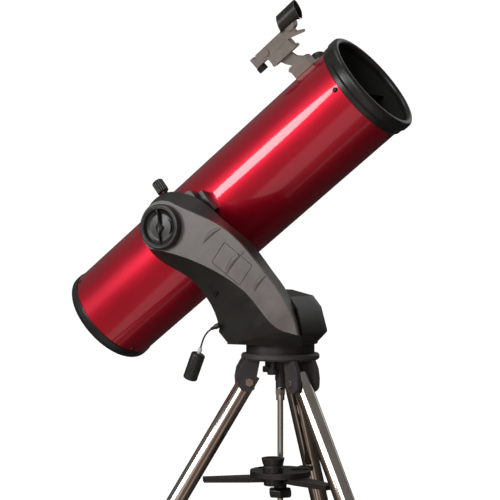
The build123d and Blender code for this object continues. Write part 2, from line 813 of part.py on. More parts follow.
with BuildPart() as wifi_dongle:
    with BuildSketch(plug_plane.offset(plug_length)):
        Circle(dongle_radius)
    extrude(amount=dongle_length)
    fillet(wifi_dongle.edges().filter_by(GeomType.CIRCLE), 1.6)
finish(wifi_dongle, "wifi_dongle")

# The arm body takes the switch frame and the port's boss, then both are opened for their pieces
with BuildPart() as arm_body:
    add(arm_shell.part)
    add(switch_frame.part)
    with BuildSketch(switch_plane.offset(-3)):
        Rectangle(rocker_length + 2 * gap, rocker_width + 2 * gap)
    extrude(amount=12, mode=Mode.SUBTRACT)
    with BuildSketch(rocker_pin.offset(-gap)):
        Circle(rocker_pin_radius + running_clearance)
    extrude(amount=rocker_pin_length + 2 * gap, mode=Mode.SUBTRACT)
    with BuildSketch(port_plane):
        Circle(port_radius)
    extrude(amount=port_length, mode=Mode.SUBTRACT)
finish(arm_body, "arm_body")

# ================================================================ tripod
flange_bottom = flange_top - flange_thickness
ear_half_gap = leg_radius + 0.6
captive_reach = 33.0
with BuildPart() as tripod_head:
    with BuildSketch(Plane.XZ):
        with BuildLine():
            Polyline((0, flange_top), (flange_radius - 2, flange_top), (flange_radius, flange_top - 3),
                     (flange_radius, flange_top - 8), (flange_radius - 3, flange_bottom),
                     (14, flange_bottom), (12, flange_bottom - 20), (coupling_radius, flange_bottom - 20),
                     (coupling_radius, coupling_bottom), (0, coupling_bottom), close=True)
        make_face()
    revolve(axis=Axis.Z)
    for azimuth in leg_azimuths:
        hinge = leg_frame(azimuth)
        flat = Plane(origin=hinge.origin, x_dir=(*polar(1, azimuth), 0), z_dir=hinge.x_dir * -1)
        for side in (-1, 1):
            start = ear_half_gap if side > 0 else -ear_half_gap - ear_thickness
            with BuildSketch(flat.offset(start)):
                with BuildLine():
                    up = flange_bottom + 1 - hinge_height
                    Polyline((-19, up), (8, up), (16, 24), (19, 8), (18, -6))
                    ThreePointArc((18, -6), (4, -16), (-9, -12))
                    Line((-9, -12), (-19, up))
                make_face()
            extrude(amount=ear_thickness)
        with BuildSketch(flat.offset(-40)):
            Circle(hinge_bolt_radius)
        extrude(amount=80, mode=Mode.SUBTRACT)
    with BuildSketch(Plane.XY.offset(coupling_bottom)):
        Circle(rod_radius)
    extrude(amount=rod_top - coupling_bottom, mode=Mode.SUBTRACT)
    with BuildSketch(Plane.XY.offset(flange_bottom)):
        with PolarLocations(captive_reach, 3, start_angle=leg_azimuths[0] + 60):
            Circle(4 + running_clearance)
    extrude(amount=flange_thickness, mode=Mode.SUBTRACT)
finish(tripod_head, "tripod_head")

with BuildPart() as hinge_bolts:
    for azimuth in leg_azimuths:
        hinge = leg_frame(azimuth)
        pin = Plane(origin=hinge.origin, x_dir=(0, 0, 1), z_dir=hinge.x_dir)
        face = ear_half_gap + ear_thickness
        with BuildSketch(pin.offset(-face)):
            Circle(hinge_bolt_radius)
        extrude(amount=2 * face)
        for start in (-face - 5.5, face):
            with BuildSketch(pin.offset(start)):
                RegularPolygon(7.2, 6)
            extrude(amount=5.5)
finish(hinge_bolts, "hinge_bolts")

with BuildPart() as center_rod:
    with BuildSketch(Plane.XZ):
        with BuildLine():
            Polyline((0, rod_bottom), (rod_radius - 1, rod_bottom), (rod_radius, rod_bottom + 1),
                     (rod_radius, rod_top), (0, rod_top), close=True)
        make_face()
    revolve(axis=Axis.Z)
finish(center_rod, "center_rod")

with BuildPart() as captive_bolts:
    for start, height, radius in (
        (flange_bottom - 24, 10, 10), (flange_bottom - 14, 12, 6), (flange_bottom - 2, 2, 8)
    ):
        with BuildSketch(Plane.XY.offset(start)):
            with PolarLocations(captive_reach, 3, start_angle=leg_azimuths[0] + 60):
                Circle(radius)
        extrude(amount=height)
    with BuildSketch(Plane.XY.offset(flange_bottom)):
        with PolarLocations(captive_reach, 3, start_angle=leg_azimuths[0] + 60):
            Circle(4)
    extrude(amount=flange_thickness + 12)
finish(captive_bolts, "captive_bolts")

floor_distance = hinge_height / math.cos(math.radians(leg_splay))
leg_tube_start = -15.0
collar_start = leg_tube_start + leg_tube_length - 15
screw_reach = leg_tube_start + leg_tube_length + 14
for number, azimuth in enumerate(leg_azimuths, start=1):
    leg = leg_frame(azimuth)
    with BuildPart() as leg_tube:
        with BuildSketch(leg.offset(leg_tube_start)):
            Circle(leg_radius)
            Circle(leg_radius - leg_wall, mode=Mode.SUBTRACT)
        extrude(amount=leg_tube_length)
        with BuildSketch(leg.offset(leg_tube_start)):
            Circle(leg_radius - leg_wall)
        extrude(amount=leg_cap)
        with BuildSketch(Plane(origin=leg.origin - leg.x_dir * 40, z_dir=leg.x_dir)):
            Circle(hinge_bolt_radius + running_clearance)
        extrude(amount=80, mode=Mode.SUBTRACT)
    finish(leg_tube, f"leg_tube_{number}")

    with BuildPart() as leg_collar:
        with BuildSketch(leg.offset(collar_start)):
            Circle(collar_radius)
        extrude(amount=collar_length)
        with BuildSketch(leg.offset(collar_start)):
            Circle(leg_radius)
        extrude(amount=leg_tube_start + leg_tube_length - collar_start, mode=Mode.SUBTRACT)
        with BuildSketch(leg.offset(collar_start)):
            Circle(inner_leg_radius + running_clearance)
        extrude(amount=collar_length, mode=Mode.SUBTRACT)
        with BuildSketch(Plane(origin=leg.origin + leg.z_dir * screw_reach, z_dir=leg.y_dir)):
            Circle(3 + running_clearance)
        extrude(amount=collar_radius + 5, mode=Mode.SUBTRACT)
    finish(leg_collar, f"leg_collar_{number}")

    clamp_start = leg.origin + leg.z_dir * screw_reach + leg.y_dir * (inner_leg_radius + gap)
    with BuildPart() as leg_clamp:
        with BuildSketch(Plane(origin=clamp_start, z_dir=leg.y_dir)):
            Circle(3)
        extrude(amount=12)
        with BuildSketch(Plane(origin=clamp_start + leg.y_dir * 12, x_dir=leg.z_dir, z_dir=leg.y_dir)):
            Circle(7)
            Rectangle(26, 6)
        extrude(amount=12)
    finish(leg_clamp, f"leg_clamp_{number}")

    with BuildPart() as inner_leg:
        with BuildSketch(leg.offset(inner_leg_start)):
            Circle(inner_leg_radius)
            Circle(inner_leg_radius - leg_wall, mode=Mode.SUBTRACT)
        extrude(amount=inner_leg_end - inner_leg_start)
    finish(inner_leg, f"inner_leg_{number}")

    with BuildPart() as leg_foot:
        with BuildSketch(leg.offset(floor_distance - foot_length)):
            Circle(foot_radius)
        extrude(amount=foot_length + 20)
        with BuildSketch(leg.offset(floor_distance - foot_length)):
            Circle(inner_leg_radius)
        extrude(amount=inner_leg_end - floor_distance + foot_length, mode=Mode.SUBTRACT)
        split(bisect_by=Plane.XY, keep=Keep.TOP)
    finish(leg_foot, f"leg_foot_{number}")

# ---------------------------------------------------------------- tray, its knob and the spare eyepiece
tray_bottom = tray_top - tray_thickness
arm_root = 20.0
arm_tip = 12.0
with BuildPart() as spreader_tray:
    with BuildSketch(Plane.XY.offset(tray_bottom)):
        Circle(tray_hub_radius)
    extrude(amount=tray_thickness)
    for azimuth in leg_azimuths:
        arm_direction = (*polar(1, azimuth), 0)
        with BuildSketch(Plane(origin=(0, 0, tray_bottom - 8), x_dir=arm_direction, z_dir=(0, 0, 1))):
            with BuildLine():
                Polyline((0, -arm_root), (60, -arm_root), (tray_reach - 10, -arm_tip),
                         (tray_reach, -arm_tip),
                         (tray_reach, arm_tip), (tray_reach - 10, arm_tip), (60, arm_root), (0, arm_root),
                         close=True)
            make_face()
        extrude(amount=8)
    with BuildSketch(Plane.XY.offset(tray_bottom - 13)):
        Circle(15)
    extrude(amount=13)
    with BuildSketch(Plane.XY.offset(tray_bottom - 20)):
        Circle(rod_radius + gap)
        with PolarLocations(eyepiece_hole_reach, 3, start_angle=leg_azimuths[0] + 60):
            Circle(barrel_radius + gap)
    extrude(amount=40, mode=Mode.SUBTRACT)
finish(spreader_tray, "spreader_tray")

knob_top = tray_bottom - 13 - gap
with BuildPart() as tray_knob:
    with BuildSketch(Plane.XY.offset(knob_top - 8)):
        Circle(11)
    extrude(amount=8)
    with BuildSketch(Plane.XY.offset(knob_top - 23)):
        Circle(support_knob_radius)
        with PolarLocations(support_knob_radius + 4, 6):
            Circle(7, mode=Mode.SUBTRACT)
    extrude(amount=15)
    with BuildSketch(Plane.XY.offset(knob_top - 23)):
        Circle(rod_radius + gap)
    extrude(amount=23, mode=Mode.SUBTRACT)
finish(tray_knob, "tray_knob")

spare_place = polar(eyepiece_hole_reach, leg_azimuths[0] + 60)
spare_axis = Plane(origin=(*spare_place, tray_top), z_dir=(0, 0, 1))
with BuildPart() as spare_eyepiece:
    with BuildSketch(Plane(origin=spare_axis.origin, x_dir=(1, 0, 0), z_dir=(0, -1, 0))):
        with BuildLine():
            Polyline(*eyepiece_profile(gap, 22, 17.6, 19.5), close=True)
        make_face()
    revolve(axis=Axis(spare_axis.origin, (0, 0, 1)))
finish(spare_eyepiece, "spare_eyepiece")
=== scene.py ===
"""Finished model of a Newtonian telescope on a one-armed altitude-azimuth mount and a steel tripod.

Metres, +Z up, in the CAD model's frame.  Shapes are written in millimetres in each piece's own axes and
scaled by MM as they are placed.
"""

import json

import bmesh
import bpy
import numpy as np
from mathutils import Matrix, Vector


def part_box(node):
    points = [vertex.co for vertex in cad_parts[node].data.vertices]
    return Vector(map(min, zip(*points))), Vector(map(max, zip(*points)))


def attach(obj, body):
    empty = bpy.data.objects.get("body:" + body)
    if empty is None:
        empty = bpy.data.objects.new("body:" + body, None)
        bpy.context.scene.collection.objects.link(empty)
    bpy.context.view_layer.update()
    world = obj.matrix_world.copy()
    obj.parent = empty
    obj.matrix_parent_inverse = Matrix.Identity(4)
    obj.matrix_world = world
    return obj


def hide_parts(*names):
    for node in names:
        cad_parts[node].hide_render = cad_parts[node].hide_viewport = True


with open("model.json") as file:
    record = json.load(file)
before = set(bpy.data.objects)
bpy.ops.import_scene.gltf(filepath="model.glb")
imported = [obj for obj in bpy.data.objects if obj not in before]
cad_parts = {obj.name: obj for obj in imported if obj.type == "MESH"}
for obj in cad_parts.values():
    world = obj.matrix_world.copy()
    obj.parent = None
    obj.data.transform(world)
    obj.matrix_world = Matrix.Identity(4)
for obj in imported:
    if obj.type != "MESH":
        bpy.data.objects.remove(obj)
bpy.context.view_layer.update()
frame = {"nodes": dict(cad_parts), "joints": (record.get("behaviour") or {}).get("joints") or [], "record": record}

MM = 0.001
nodes = frame["nodes"]
record = frame["record"]
joints = {joint["name"]: joint for joint in frame["joints"]}
slot_of = {part["node"]: part["material_slot"] for part in record["subparts"]}
body_of = {node: body for body, members in record["behaviour"]["bodies"].items() for node in members}


# ---------------------------------------------------------------- axes read from the frame
def unit(vector):
    """The vector scaled to length one."""
    vector = np.asarray(vector, float)
    return vector / np.linalg.norm(vector)


def middle(node):
    """The middle of a CAD node's box."""
    low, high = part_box(node)
    return (np.array(low) + np.array(high)) / 2


def axes(origin, z, x):
    """A set of axes as four rows: the origin, then x made square to z, then y, then z."""
    z = unit(z)
    x = unit(np.asarray(x, float) - np.dot(x, z) * z)
    return np.array([origin, x, np.cross(z, x), z])


def placed(points, at):
    """Points in millimetres in the given axes, as points in metres in the frame."""
    points = np.asarray(points, float) * MM
    return at[0] + points[..., 0:1] * at[1] + points[..., 1:2] * at[2] + points[..., 2:3] * at[3]


UP = np.array([0.0, 0.0, 1.0])
ACROSS = np.array([0.0, 1.0, 0.0])
altitude = np.array(joints["altitude_turn"]["pos_m"])
along = unit(joints["tube_slide"]["axis"])
upward = np.cross(along, ACROSS)
tube_origin = np.array([altitude[0], middle("main_tube")[1], altitude[2]])
tube_axes = axes(tube_origin, along, upward)
knob_axes = axes(np.array([altitude[0], 0.0, altitude[2]]), -ACROSS, along)
arm_axes = axes(np.array([altitude[0], 0.0, altitude[2]]), -ACROSS, (1, 0, 0))
floor_axes = axes(np.zeros(3), UP, (1, 0, 0))


def on_tube(turn, place):
    """Axes on the tube: z outwards, x along it; turn is in degrees from its top to its far side."""
    out = upward * np.cos(np.radians(turn)) + ACROSS * np.sin(np.radians(turn))
    return axes(tube_origin + along * place * MM, out, along)


def leg_axes(number):
    """Axes at a leg's hinge: z down the leg, x along its pin."""
    hinge = joints[f"leg_{number}_fold"]
    return axes(np.array(hinge["pos_m"]), joints[f"leg_{number}_extend"]["axis"], hinge["axis"])


# ---------------------------------------------------------------- shapes as arrays
def arc_corners(corners, cut, steps=5, closed=True):
    """Corners of an outline turned into curves.

    Each corner P is replaced by the curve (1-t)^2 A + 2t(1-t) P + t^2 B, where A and B lie on its two sides
    at the cut's distance, or at 0.48 of a shorter side.
    """
    corners = np.asarray(corners, float)
    before = np.roll(corners, 1, axis=0)
    after = np.roll(corners, -1, axis=0)
    cut = np.broadcast_to(np.asarray(cut, float), len(corners))[:, None]
    back = before - corners
    ahead = after - corners
    back_length = np.linalg.norm(back, axis=1, keepdims=True)
    ahead_length = np.linalg.norm(ahead, axis=1, keepdims=True)
    reach = np.minimum(cut, 0.48 * np.minimum(back_length, ahead_length))
    start = corners + back / back_length * reach
    end = corners + ahead / ahead_length * reach
    t = np.linspace(0, 1, steps)[None, :, None]
    curve = (1 - t) ** 2 * start[:, None] + 2 * t * (1 - t) * corners[:, None] + t**2 * end[:, None]
    if closed:
        return curve.reshape(-1, 2)
    return np.concatenate([corners[:1], curve[1:-1].reshape(-1, 2), corners[-1:]])


def grid(points, wrap_rows=False, wrap_columns=True, first_pole=False, last_pole=False):
    """A block of vertices and faces from rows of points; a row flagged as a pole shrinks to its mean."""
    rows, columns = points.shape[:2]
    index = np.arange(rows * columns).reshape(rows, columns)
    r = np.arange(rows if wrap_rows else rows - 1)[:, None]
    c = np.arange(columns if wrap_columns else columns - 1)[None, :]
    r2, c2 = (r + 1) % rows, (c + 1) % columns
    quads = np.stack([index[r, c], index[r, c2], index[r2, c2], index[r2, c]], axis=-1)
    points = points.copy()
    faces = []
    if first_pole:
        points[0] = points[0].mean(axis=0)
        faces += quads[0][:, [0, 2, 3]].tolist()
        faces = [[0, b, d] for _, b, d in faces]
        quads = quads[1:]
    if last_pole:
        points[-1] = points[-1].mean(axis=0)
        last = int(index[-1, 0])
        faces += [[a, b, last] for a, b, _, _ in quads[-1].tolist()]
        quads = quads[:-1]
    return points.reshape(-1, 3), quads.reshape(-1, 4).tolist() + faces


def turned(profile, at, sides=96, closed=True, grip=None):
    """A profile of (radius, height) carried round the z axis: (r cos a, r sin a, h).

    A closed profile makes a ring; an open one starts and ends on the axis.  The grip (count, depth, from,
    to) cuts that many grooves between two heights: r falls by depth * |sin(count a / 2)| to the power 0.7,
    fading in over 0.8 mm at each end, where the radius is more than half the largest.
    """
    profile = np.asarray(profile, float)
    angle = np.linspace(0, 2 * np.pi, sides, endpoint=False)[None, :]
    radius = profile[:, :1] + 0 * angle
    height = profile[:, 1:] + 0 * angle
    if grip:
        count, depth, low, high = grip
        fade = np.clip((height - low) / 0.8, 0, 1) * np.clip((high - height) / 0.8, 0, 1)
        outer = radius > 0.5 * profile[:, 0].max()
        radius = radius - fade * outer * depth * np.abs(np.sin(count * angle / 2)) ** 0.7
    points = np.stack([radius * np.cos(angle), radius * np.sin(angle), height], axis=-1)
    return grid(placed(points, at), closed, True, not closed, not closed)


def ridge(path, half_widths, heights, at, sides=12):
    """A raised welt along a path lying in the plane z = base.

    A point is path + half_width * cos(a) across it, and base + height * sin(a) for the upper half of the
    turn and base - 0.6 below, so the welt is half an ellipse with a flat foot.
    """
    path = np.asarray(path, float)
    run = np.gradient(path, axis=0)
    across = np.stack([-run[:, 1], run[:, 0]], axis=1)
    across /= np.linalg.norm(across, axis=1, keepdims=True)
    angle = np.linspace(0, 2 * np.pi, 2 * sides, endpoint=False)[None, :]
    reach = np.asarray(half_widths)[:, None] * np.cos(angle)
    rise = np.where(np.sin(angle) > 0, np.asarray(heights)[:, None] * np.sin(angle), -0.6)
    points = np.stack(
        [
            path[:, :1] + across[:, :1] * reach, path[:, 1:2] + across[:, 1:] * reach,
            path[:, 2:3] + rise
        ], axis=-1
    )
    return grid(placed(points, at), False, True, True, True)


# ---------------------------------------------------------------- pieces
def make(name, blocks, material, body, stands_for=(), sharp=40):
    """One piece from blocks of vertices and faces, with its faces turned outwards, riding on a body."""
    vertices, faces, count = [], [], 0
    for block_vertices, block_faces in blocks:
        vertices.append(block_vertices)
        faces += [[index + count for index in face] for face in block_faces]
        count += len(block_vertices)
    mesh = bpy.data.meshes.new(name)
    mesh.from_pydata(np.concatenate(vertices).tolist(), [], faces)
    shell = bmesh.new()
    shell.from_mesh(mesh)
    bmesh.ops.recalc_face_normals(shell, faces=shell.faces)
    shell.to_mesh(mesh)
    shell.free()
    return finish_piece(name, mesh, material, body, stands_for, sharp)


def finish_piece(name, mesh, material, body, stands_for, sharp):
    """Give a mesh its shading, material and body."""
    mesh.shade_smooth()
    mesh.set_sharp_from_angle(angle=np.radians(sharp))
    mesh.materials.clear()
    mesh.materials.append(material)
    piece = bpy.data.objects.new(name, mesh)
    bpy.context.scene.collection.objects.link(piece)
    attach(piece, body)
    if stands_for:
        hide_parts(*stands_for)
    return piece


def softened(node, width, material, segments=3, angle=28):
    """A CAD node's shape with rounded edges: a merged copy, its flat faces joined, then a bevel."""
    mesh = nodes[node].data.copy()
    shell = bmesh.new()
    shell.from_mesh(mesh)
    bmesh.ops.remove_doubles(shell, verts=shell.verts, dist=2e-6)
    bmesh.ops.dissolve_limit(shell, angle_limit=np.radians(0.6), verts=shell.verts, edges=shell.edges)
    shell.to_mesh(mesh)
    shell.free()
    carried = mesh.attributes.get("custom_normal")
    if carried:
        mesh.attributes.remove(carried)
    piece = finish_piece(f"soft_{node}", mesh, material, body_of[node], (node,), 180)
    bevel = piece.modifiers.new("rounded edges", "BEVEL")
    bevel.width = width * MM
    bevel.segments = segments
    bevel.limit_method = "ANGLE"
    bevel.angle_limit = np.radians(angle)
    bevel.harden_normals = True
    return piece


# ---------------------------------------------------------------- shader helpers
def node_group(name, inputs, outputs):
    """An empty shader group with those float inputs and named outputs."""
    group = bpy.data.node_groups.new(name, "ShaderNodeTree")
    for label, value in inputs:
        socket = group.interface.new_socket(label, in_out="INPUT", socket_type="NodeSocketFloat")
        socket.default_value = value
    for label, kind in outputs:
        group.interface.new_socket(label, in_out="OUTPUT", socket_type=kind)
    return group, group.nodes.new("NodeGroupInput"), group.nodes.new("NodeGroupOutput")


def add(tree, kind, **settings):
    """A node of that kind with its properties set."""
    node = tree.nodes.new(kind)
    for key, value in settings.items():
        setattr(node, key, value)
    return node


def math_node(tree, operation, first, second=None, clamp=False):
    """A Math node fed by sockets or numbers; gives its output."""
    node = add(tree, "ShaderNodeMath", operation=operation, use_clamp=clamp)
    for socket, value in zip(node.inputs, (first, second)):
        if isinstance(value, bpy.types.NodeSocket):
            tree.links.new(value, socket)
        elif value is not None:
            socket.default_value = value
    return node.outputs[0]


def make_grain():
    """Moulding grain: two sizes of noise; the fine one gives height, both give a mottle round 0.5."""
    group, given, result = node_group(
        "moulding_grain", [("Fine", 900.0), ("Broad", 25.0)], [
            ("Height", "NodeSocketFloat"), ("Mottle", "NodeSocketFloat")
        ]
    )
    place = add(group, "ShaderNodeTexCoord")
    fine = add(group, "ShaderNodeTexNoise")
    broad = add(group, "ShaderNodeTexNoise")
    for noise, label, detail in ((fine, "Fine", 2.0), (broad, "Broad", 4.0)):
        group.links.new(place.outputs["Object"], noise.inputs["Vector"])
        group.links.new(given.outputs[label], noise.inputs["Scale"])
        noise.inputs["Detail"].default_value = detail
    group.links.new(fine.outputs["Fac"], result.inputs["Height"])
    third = math_node(group, "MULTIPLY", fine.outputs["Fac"], 0.35)
    rest = math_node(group, "MULTIPLY", broad.outputs["Fac"], 0.65)
    group.links.new(math_node(group, "ADD", third, rest), result.inputs["Mottle"])
    return group


def make_dust():
    """Dust: the upward part of the surface's own normal, broken up by noise, as a mask from 0 to 1."""
    group, given, result = node_group("settled_dust", [("Amount", 0.3)], [("Mask", "NodeSocketFloat")])
    place = add(group, "ShaderNodeTexCoord")
    split = add(group, "ShaderNodeSeparateXYZ")
    group.links.new(place.outputs["Normal"], split.inputs["Vector"])
    facing = math_node(group, "POWER", math_node(group, "MAXIMUM", split.outputs["Z"], 0.0), 2.0)
    noise = add(group, "ShaderNodeTexNoise")
    noise.inputs["Scale"].default_value = 60.0
    noise.inputs["Detail"].default_value = 5.0
    group.links.new(place.outputs["Object"], noise.inputs["Vector"])
    broken = math_node(group, "MULTIPLY", facing, noise.outputs["Fac"])
    group.links.new(
        math_node(group, "MULTIPLY", broken, given.outputs["Amount"], True), result.inputs["Mask"]
    )
    return group


grain_group = make_grain()
dust_group = make_dust()


def surface(
    name, dark, light, rough=(0.4, 0.5), metallic=0.0, coat=0.0, fine=900.0, broad=25.0, bump=0.05,
            dust=0.15, specular=0.5):
    """A material whose colour and roughness follow the grain's mottle, with dust on top."""
    material = bpy.data.materials.new(name)
    material.use_nodes = True
    tree = material.node_tree
    shader = tree.nodes["Principled BSDF"]
    shader.inputs["Metallic"].default_value = metallic
    shader.inputs["Coat Weight"].default_value = coat
    shader.inputs["Coat Roughness"].default_value = 0.08
    shader.inputs["Specular IOR Level"].default_value = specular
    grain = add(tree, "ShaderNodeGroup", node_tree=grain_group)
    grain.inputs["Fine"].default_value = fine
    grain.inputs["Broad"].default_value = broad
    ramp = add(tree, "ShaderNodeValToRGB")
    ramp.color_ramp.elements[0].position = 0.35
    ramp.color_ramp.elements[0].color = (*dark, 1)
    ramp.color_ramp.elements[1].position = 0.65
    ramp.color_ramp.elements[1].color = (*light, 1)
    tree.links.new(grain.outputs["Mottle"], ramp.inputs["Fac"])
    settled = add(tree, "ShaderNodeGroup", node_tree=dust_group)
    settled.inputs["Amount"].default_value = dust
    mix = add(tree, "ShaderNodeMix", data_type="RGBA")
    tree.links.new(settled.outputs["Mask"], mix.inputs["Factor"])
    tree.links.new(ramp.outputs["Color"], mix.inputs[6])
    mix.inputs[7].default_value = (0.42, 0.40, 0.37, 1)
    tree.links.new(mix.outputs[2], shader.inputs["Base Color"])
    spread = add(tree, "ShaderNodeMapRange")
    spread.inputs["From Min"].default_value = 0.3
    spread.inputs["From Max"].default_value = 0.7
    spread.inputs["To Min"].default_value = rough[0]
    spread.inputs["To Max"].default_value = rough[1]
    tree.links.new(grain.outputs["Mottle"], spread.inputs["Value"])
    tree.links.new(spread.outputs["Result"], shader.inputs["Roughness"])
    relief = add(tree, "ShaderNodeBump")
    relief.inputs["Strength"].default_value = bump
    relief.inputs["Distance"].default_value = 0.0004
    tree.links.new(grain.outputs["Height"], relief.inputs["Height"])
    tree.links.new(relief.outputs["Normal"], shader.inputs["Normal"])
    return material


materials = {
    "black_plastic": surface(
        "satin_black_moulding", (0.011, 0.010, 0.010), (0.018, 0.017, 0.016), (0.26, 0.38), bump=0.08,
        dust=0.06
    ),
    "charcoal_casing": surface(
        "charcoal_moulding", (0.013, 0.012, 0.010), (0.020, 0.018, 0.015), (0.36, 0.46), bump=0.14,
        dust=0.08
    ),
    "taupe_panel": surface(
        "taupe_moulding", (0.10, 0.083, 0.076), (0.16, 0.135, 0.126), (0.34, 0.44), bump=0.12
    ),
    "taupe_metal": surface(
        "taupe_enamel", (0.22, 0.19, 0.165), (0.30, 0.26, 0.23), (0.36, 0.46), 0.25, bump=0.06
    ),
    "black_metal": surface(
        "black_anodising", (0.016, 0.015, 0.014), (0.03, 0.027, 0.025), (0.28, 0.4), 0.35, bump=0.05
    ),
    "inner_black": surface(
        "flat_black", (0.010, 0.010, 0.010), (0.016, 0.015, 0.014), (0.55, 0.7), bump=0.1
    ),
    "cast_metal": surface(
        "casting_paint", (0.040, 0.033, 0.034), (0.060, 0.050, 0.051), (0.42, 0.55), bump=0.35,
        fine=500.0
    ),
    "chrome_hardware": surface(
        "bright_plating", (0.66, 0.65, 0.63), (0.78, 0.77, 0.75), (0.1, 0.2), 1.0, bump=0.02, dust=0.0
    ),
    "polished_steel": surface(
        "polished_steel", (0.52, 0.45, 0.40), (0.64, 0.57, 0.52), (0.07, 0.14), 1.0, bump=0.01, dust=0.0
    ),
    "worm_brass": surface(
        "worm_brass", (0.45, 0.30, 0.10), (0.62, 0.44, 0.18), (0.22, 0.34), 1.0, bump=0.05
    ),
    "mirror_glass": surface(
        "aluminised_glass", (0.86, 0.88, 0.90), (0.92, 0.94, 0.96), (0.01, 0.03), 1.0, bump=0.0,
        dust=0.0
    ),
    "board_green": surface(
        "solder_mask", (0.012, 0.10, 0.035), (0.02, 0.15, 0.06), (0.25, 0.4), bump=0.05
    ),
    "cell_wrap": surface("cell_sleeve", (0.10, 0.10, 0.12), (0.16, 0.16, 0.18), (0.2, 0.3), bump=0.02),
    "foot_rubber": surface(
        "foot_rubber", (0.014, 0.014, 0.014), (0.026, 0.025, 0.024), (0.55, 0.7), bump=0.3, dust=0.4
    ),
    "clear_plug": surface(
        "milky_moulding", (0.62, 0.62, 0.66), (0.74, 0.74, 0.78), (0.2, 0.3), bump=0.05, dust=0.0
    ),
    "cord_black": surface(
        "cord_sheath", (0.010, 0.010, 0.010), (0.018, 0.017, 0.016), (0.4, 0.5), bump=0.1
    ),
}


def red_enamel():
    """Red metallic enamel outside the tube and flat black inside, told apart by distance from its axis."""
    material = surface(
        "red_enamel", (0.58, 0.003, 0.026), (0.66, 0.005, 0.032), (0.38, 0.44), 0.6, 1.0, 2600.0, 8.0,
        0.02, 0.0
    )
    tree = material.node_tree
    shader = tree.nodes["Principled BSDF"]
    place = add(tree, "ShaderNodeTexCoord")
    offset = add(tree, "ShaderNodeVectorMath", operation="SUBTRACT")
    tree.links.new(place.outputs["Object"], offset.inputs[0])
    offset.inputs[1].default_value = tube_origin
    cross = add(tree, "ShaderNodeVectorMath", operation="CROSS_PRODUCT")
    tree.links.new(offset.outputs["Vector"], cross.inputs[0])
    cross.inputs[1].default_value = along
    reach = add(tree, "ShaderNodeVectorMath", operation="LENGTH")
    tree.links.new(cross.outputs["Vector"], reach.inputs[0])
    outside = math_node(tree, "GREATER_THAN", reach.outputs["Value"], 90.3 * MM)
    colour = shader.inputs["Base Color"].links[0].from_socket
    coat = add(tree, "ShaderNodeMix", data_type="RGBA")
    coat.inputs[6].default_value = (0.012, 0.012, 0.011, 1)
    tree.links.new(outside, coat.inputs["Factor"])
    tree.links.new(colour, coat.inputs[7])
    tree.links.new(coat.outputs[2], shader.inputs["Base Color"])
    rough = shader.inputs["Roughness"].links[0].from_socket
    matt = math_node(tree, "MULTIPLY", math_node(tree, "SUBTRACT", 1.0, outside), 0.4)
    tree.links.new(math_node(tree, "ADD", rough, matt), shader.inputs["Roughness"])
    tree.links.new(math_node(tree, "MULTIPLY", outside, 0.82), shader.inputs["Metallic"])
    tree.links.new(outside, shader.inputs["Coat Weight"])
    return material


materials["tube_red"] = red_enamel()
for node, obj in nodes.items():
    obj.data.materials.clear()
    obj.data.materials.append(materials[slot_of[node]])


# ---------------------------------------------------------------- sizes read from CAD nodes
def spans(node, at):
    """The lowest and highest of a node's vertices along each of the given axes, in millimetres."""
    mesh = nodes[node].data
    flat = np.zeros(3 * len(mesh.vertices), np.float32)
    mesh.vertices.foreach_get("co", flat)
    local = (flat.reshape(-1, 3) - at[0]) @ at[1:].T / MM
    return local.min(axis=0), local.max(axis=0)


def replace(node, blocks, sharp=40, slot=None):
    """A worked-out piece in place of one CAD node, in that node's finish."""
    finish = slot or slot_of[node]
    return make(f"looks_{node}", blocks, materials[finish], body_of[node], (node,), sharp)


# ---------------------------------------------------------------- optical tube
def make_tube_ends():
    """The flared ring at the mouth and the cap behind the mirror, both turned from rounded sections."""
    low, high = spans("front_ring", tube_axes)
    back, front, outer = low[2], high[2], high[0]
    shell = spans("main_tube", tube_axes)[1][0]
    lip = front - 11.5
    section = [
        (shell + 0.05, back), (shell + 2.2, back), (shell + 3, back + 1.6), (shell + 3, back + 9),
        (outer - 1.4, back + 11), (outer, back + 13.5), (outer, front - 4.5), (outer - 3.5, front),
        (outer - 9, front), (outer - 12.5, front - 4), (outer - 12.5, lip), (shell + 0.05, lip),
    ]
    cuts = [0.3, 1.0, 1.0, 2.0, 1.5, 1.5, 3.5, 3.0, 3.0, 3.0, 0.3, 0.3]
    replace("front_ring", [turned(arc_corners(section, cuts, 6), tube_axes, 192)])
    low, high = spans("rear_cap", tube_axes)
    back, seam, outer = low[2], high[2], high[0]
    section = [
        (shell + 0.05, seam), (outer - 0.3, seam), (outer, seam - 1.2), (outer, back + 7),
        (outer - 7, back), (outer - 13, back), (outer - 15, back + 4), (60, back + 4), (60, back + 8.2),
        (shell - 1.2, back + 8.2), (shell + 0.05, back + 10),
    ]
    cuts = [0.2, 0.6, 0.8, 6.0, 5.0, 1.5, 1.5, 1.0, 1.0, 0.5, 0.5]
    replace("rear_cap", [turned(arc_corners(section, cuts, 6), tube_axes, 192)])


TUBE_SCREWS = [
    (-90, 370, 4.5), (0, 370, 4.5), (90, 370, 4.5), (180, 370, 4.5),
    (-162, -249, 3.5), (-42, -249, 3.5), (78, -249, 3.5),
]


def make_tube_screws():
    """Domed screws, each with a shallow driver socket, on the mouth's vanes and the rear seam."""
    shell = spans("main_tube", tube_axes)[1][0]
    blocks = []
    for turn, place, size in TUBE_SCREWS:
        dome = [
            (0, 0.35 * size), (0.36 * size, 0.35 * size), (0.40 * size, 0.72 * size),
            (0.62 * size, 0.70 * size), (0.94 * size, 0.30 * size), (size, -0.4), (0, -0.4),
        ]
        at = on_tube(turn, place)
        at[0] = at[0] + at[3] * shell * MM
        blocks.append(turned(arc_corners(dome, 0.12 * size, 4, False), at, 32, False))
    replace("tube_screws", blocks)


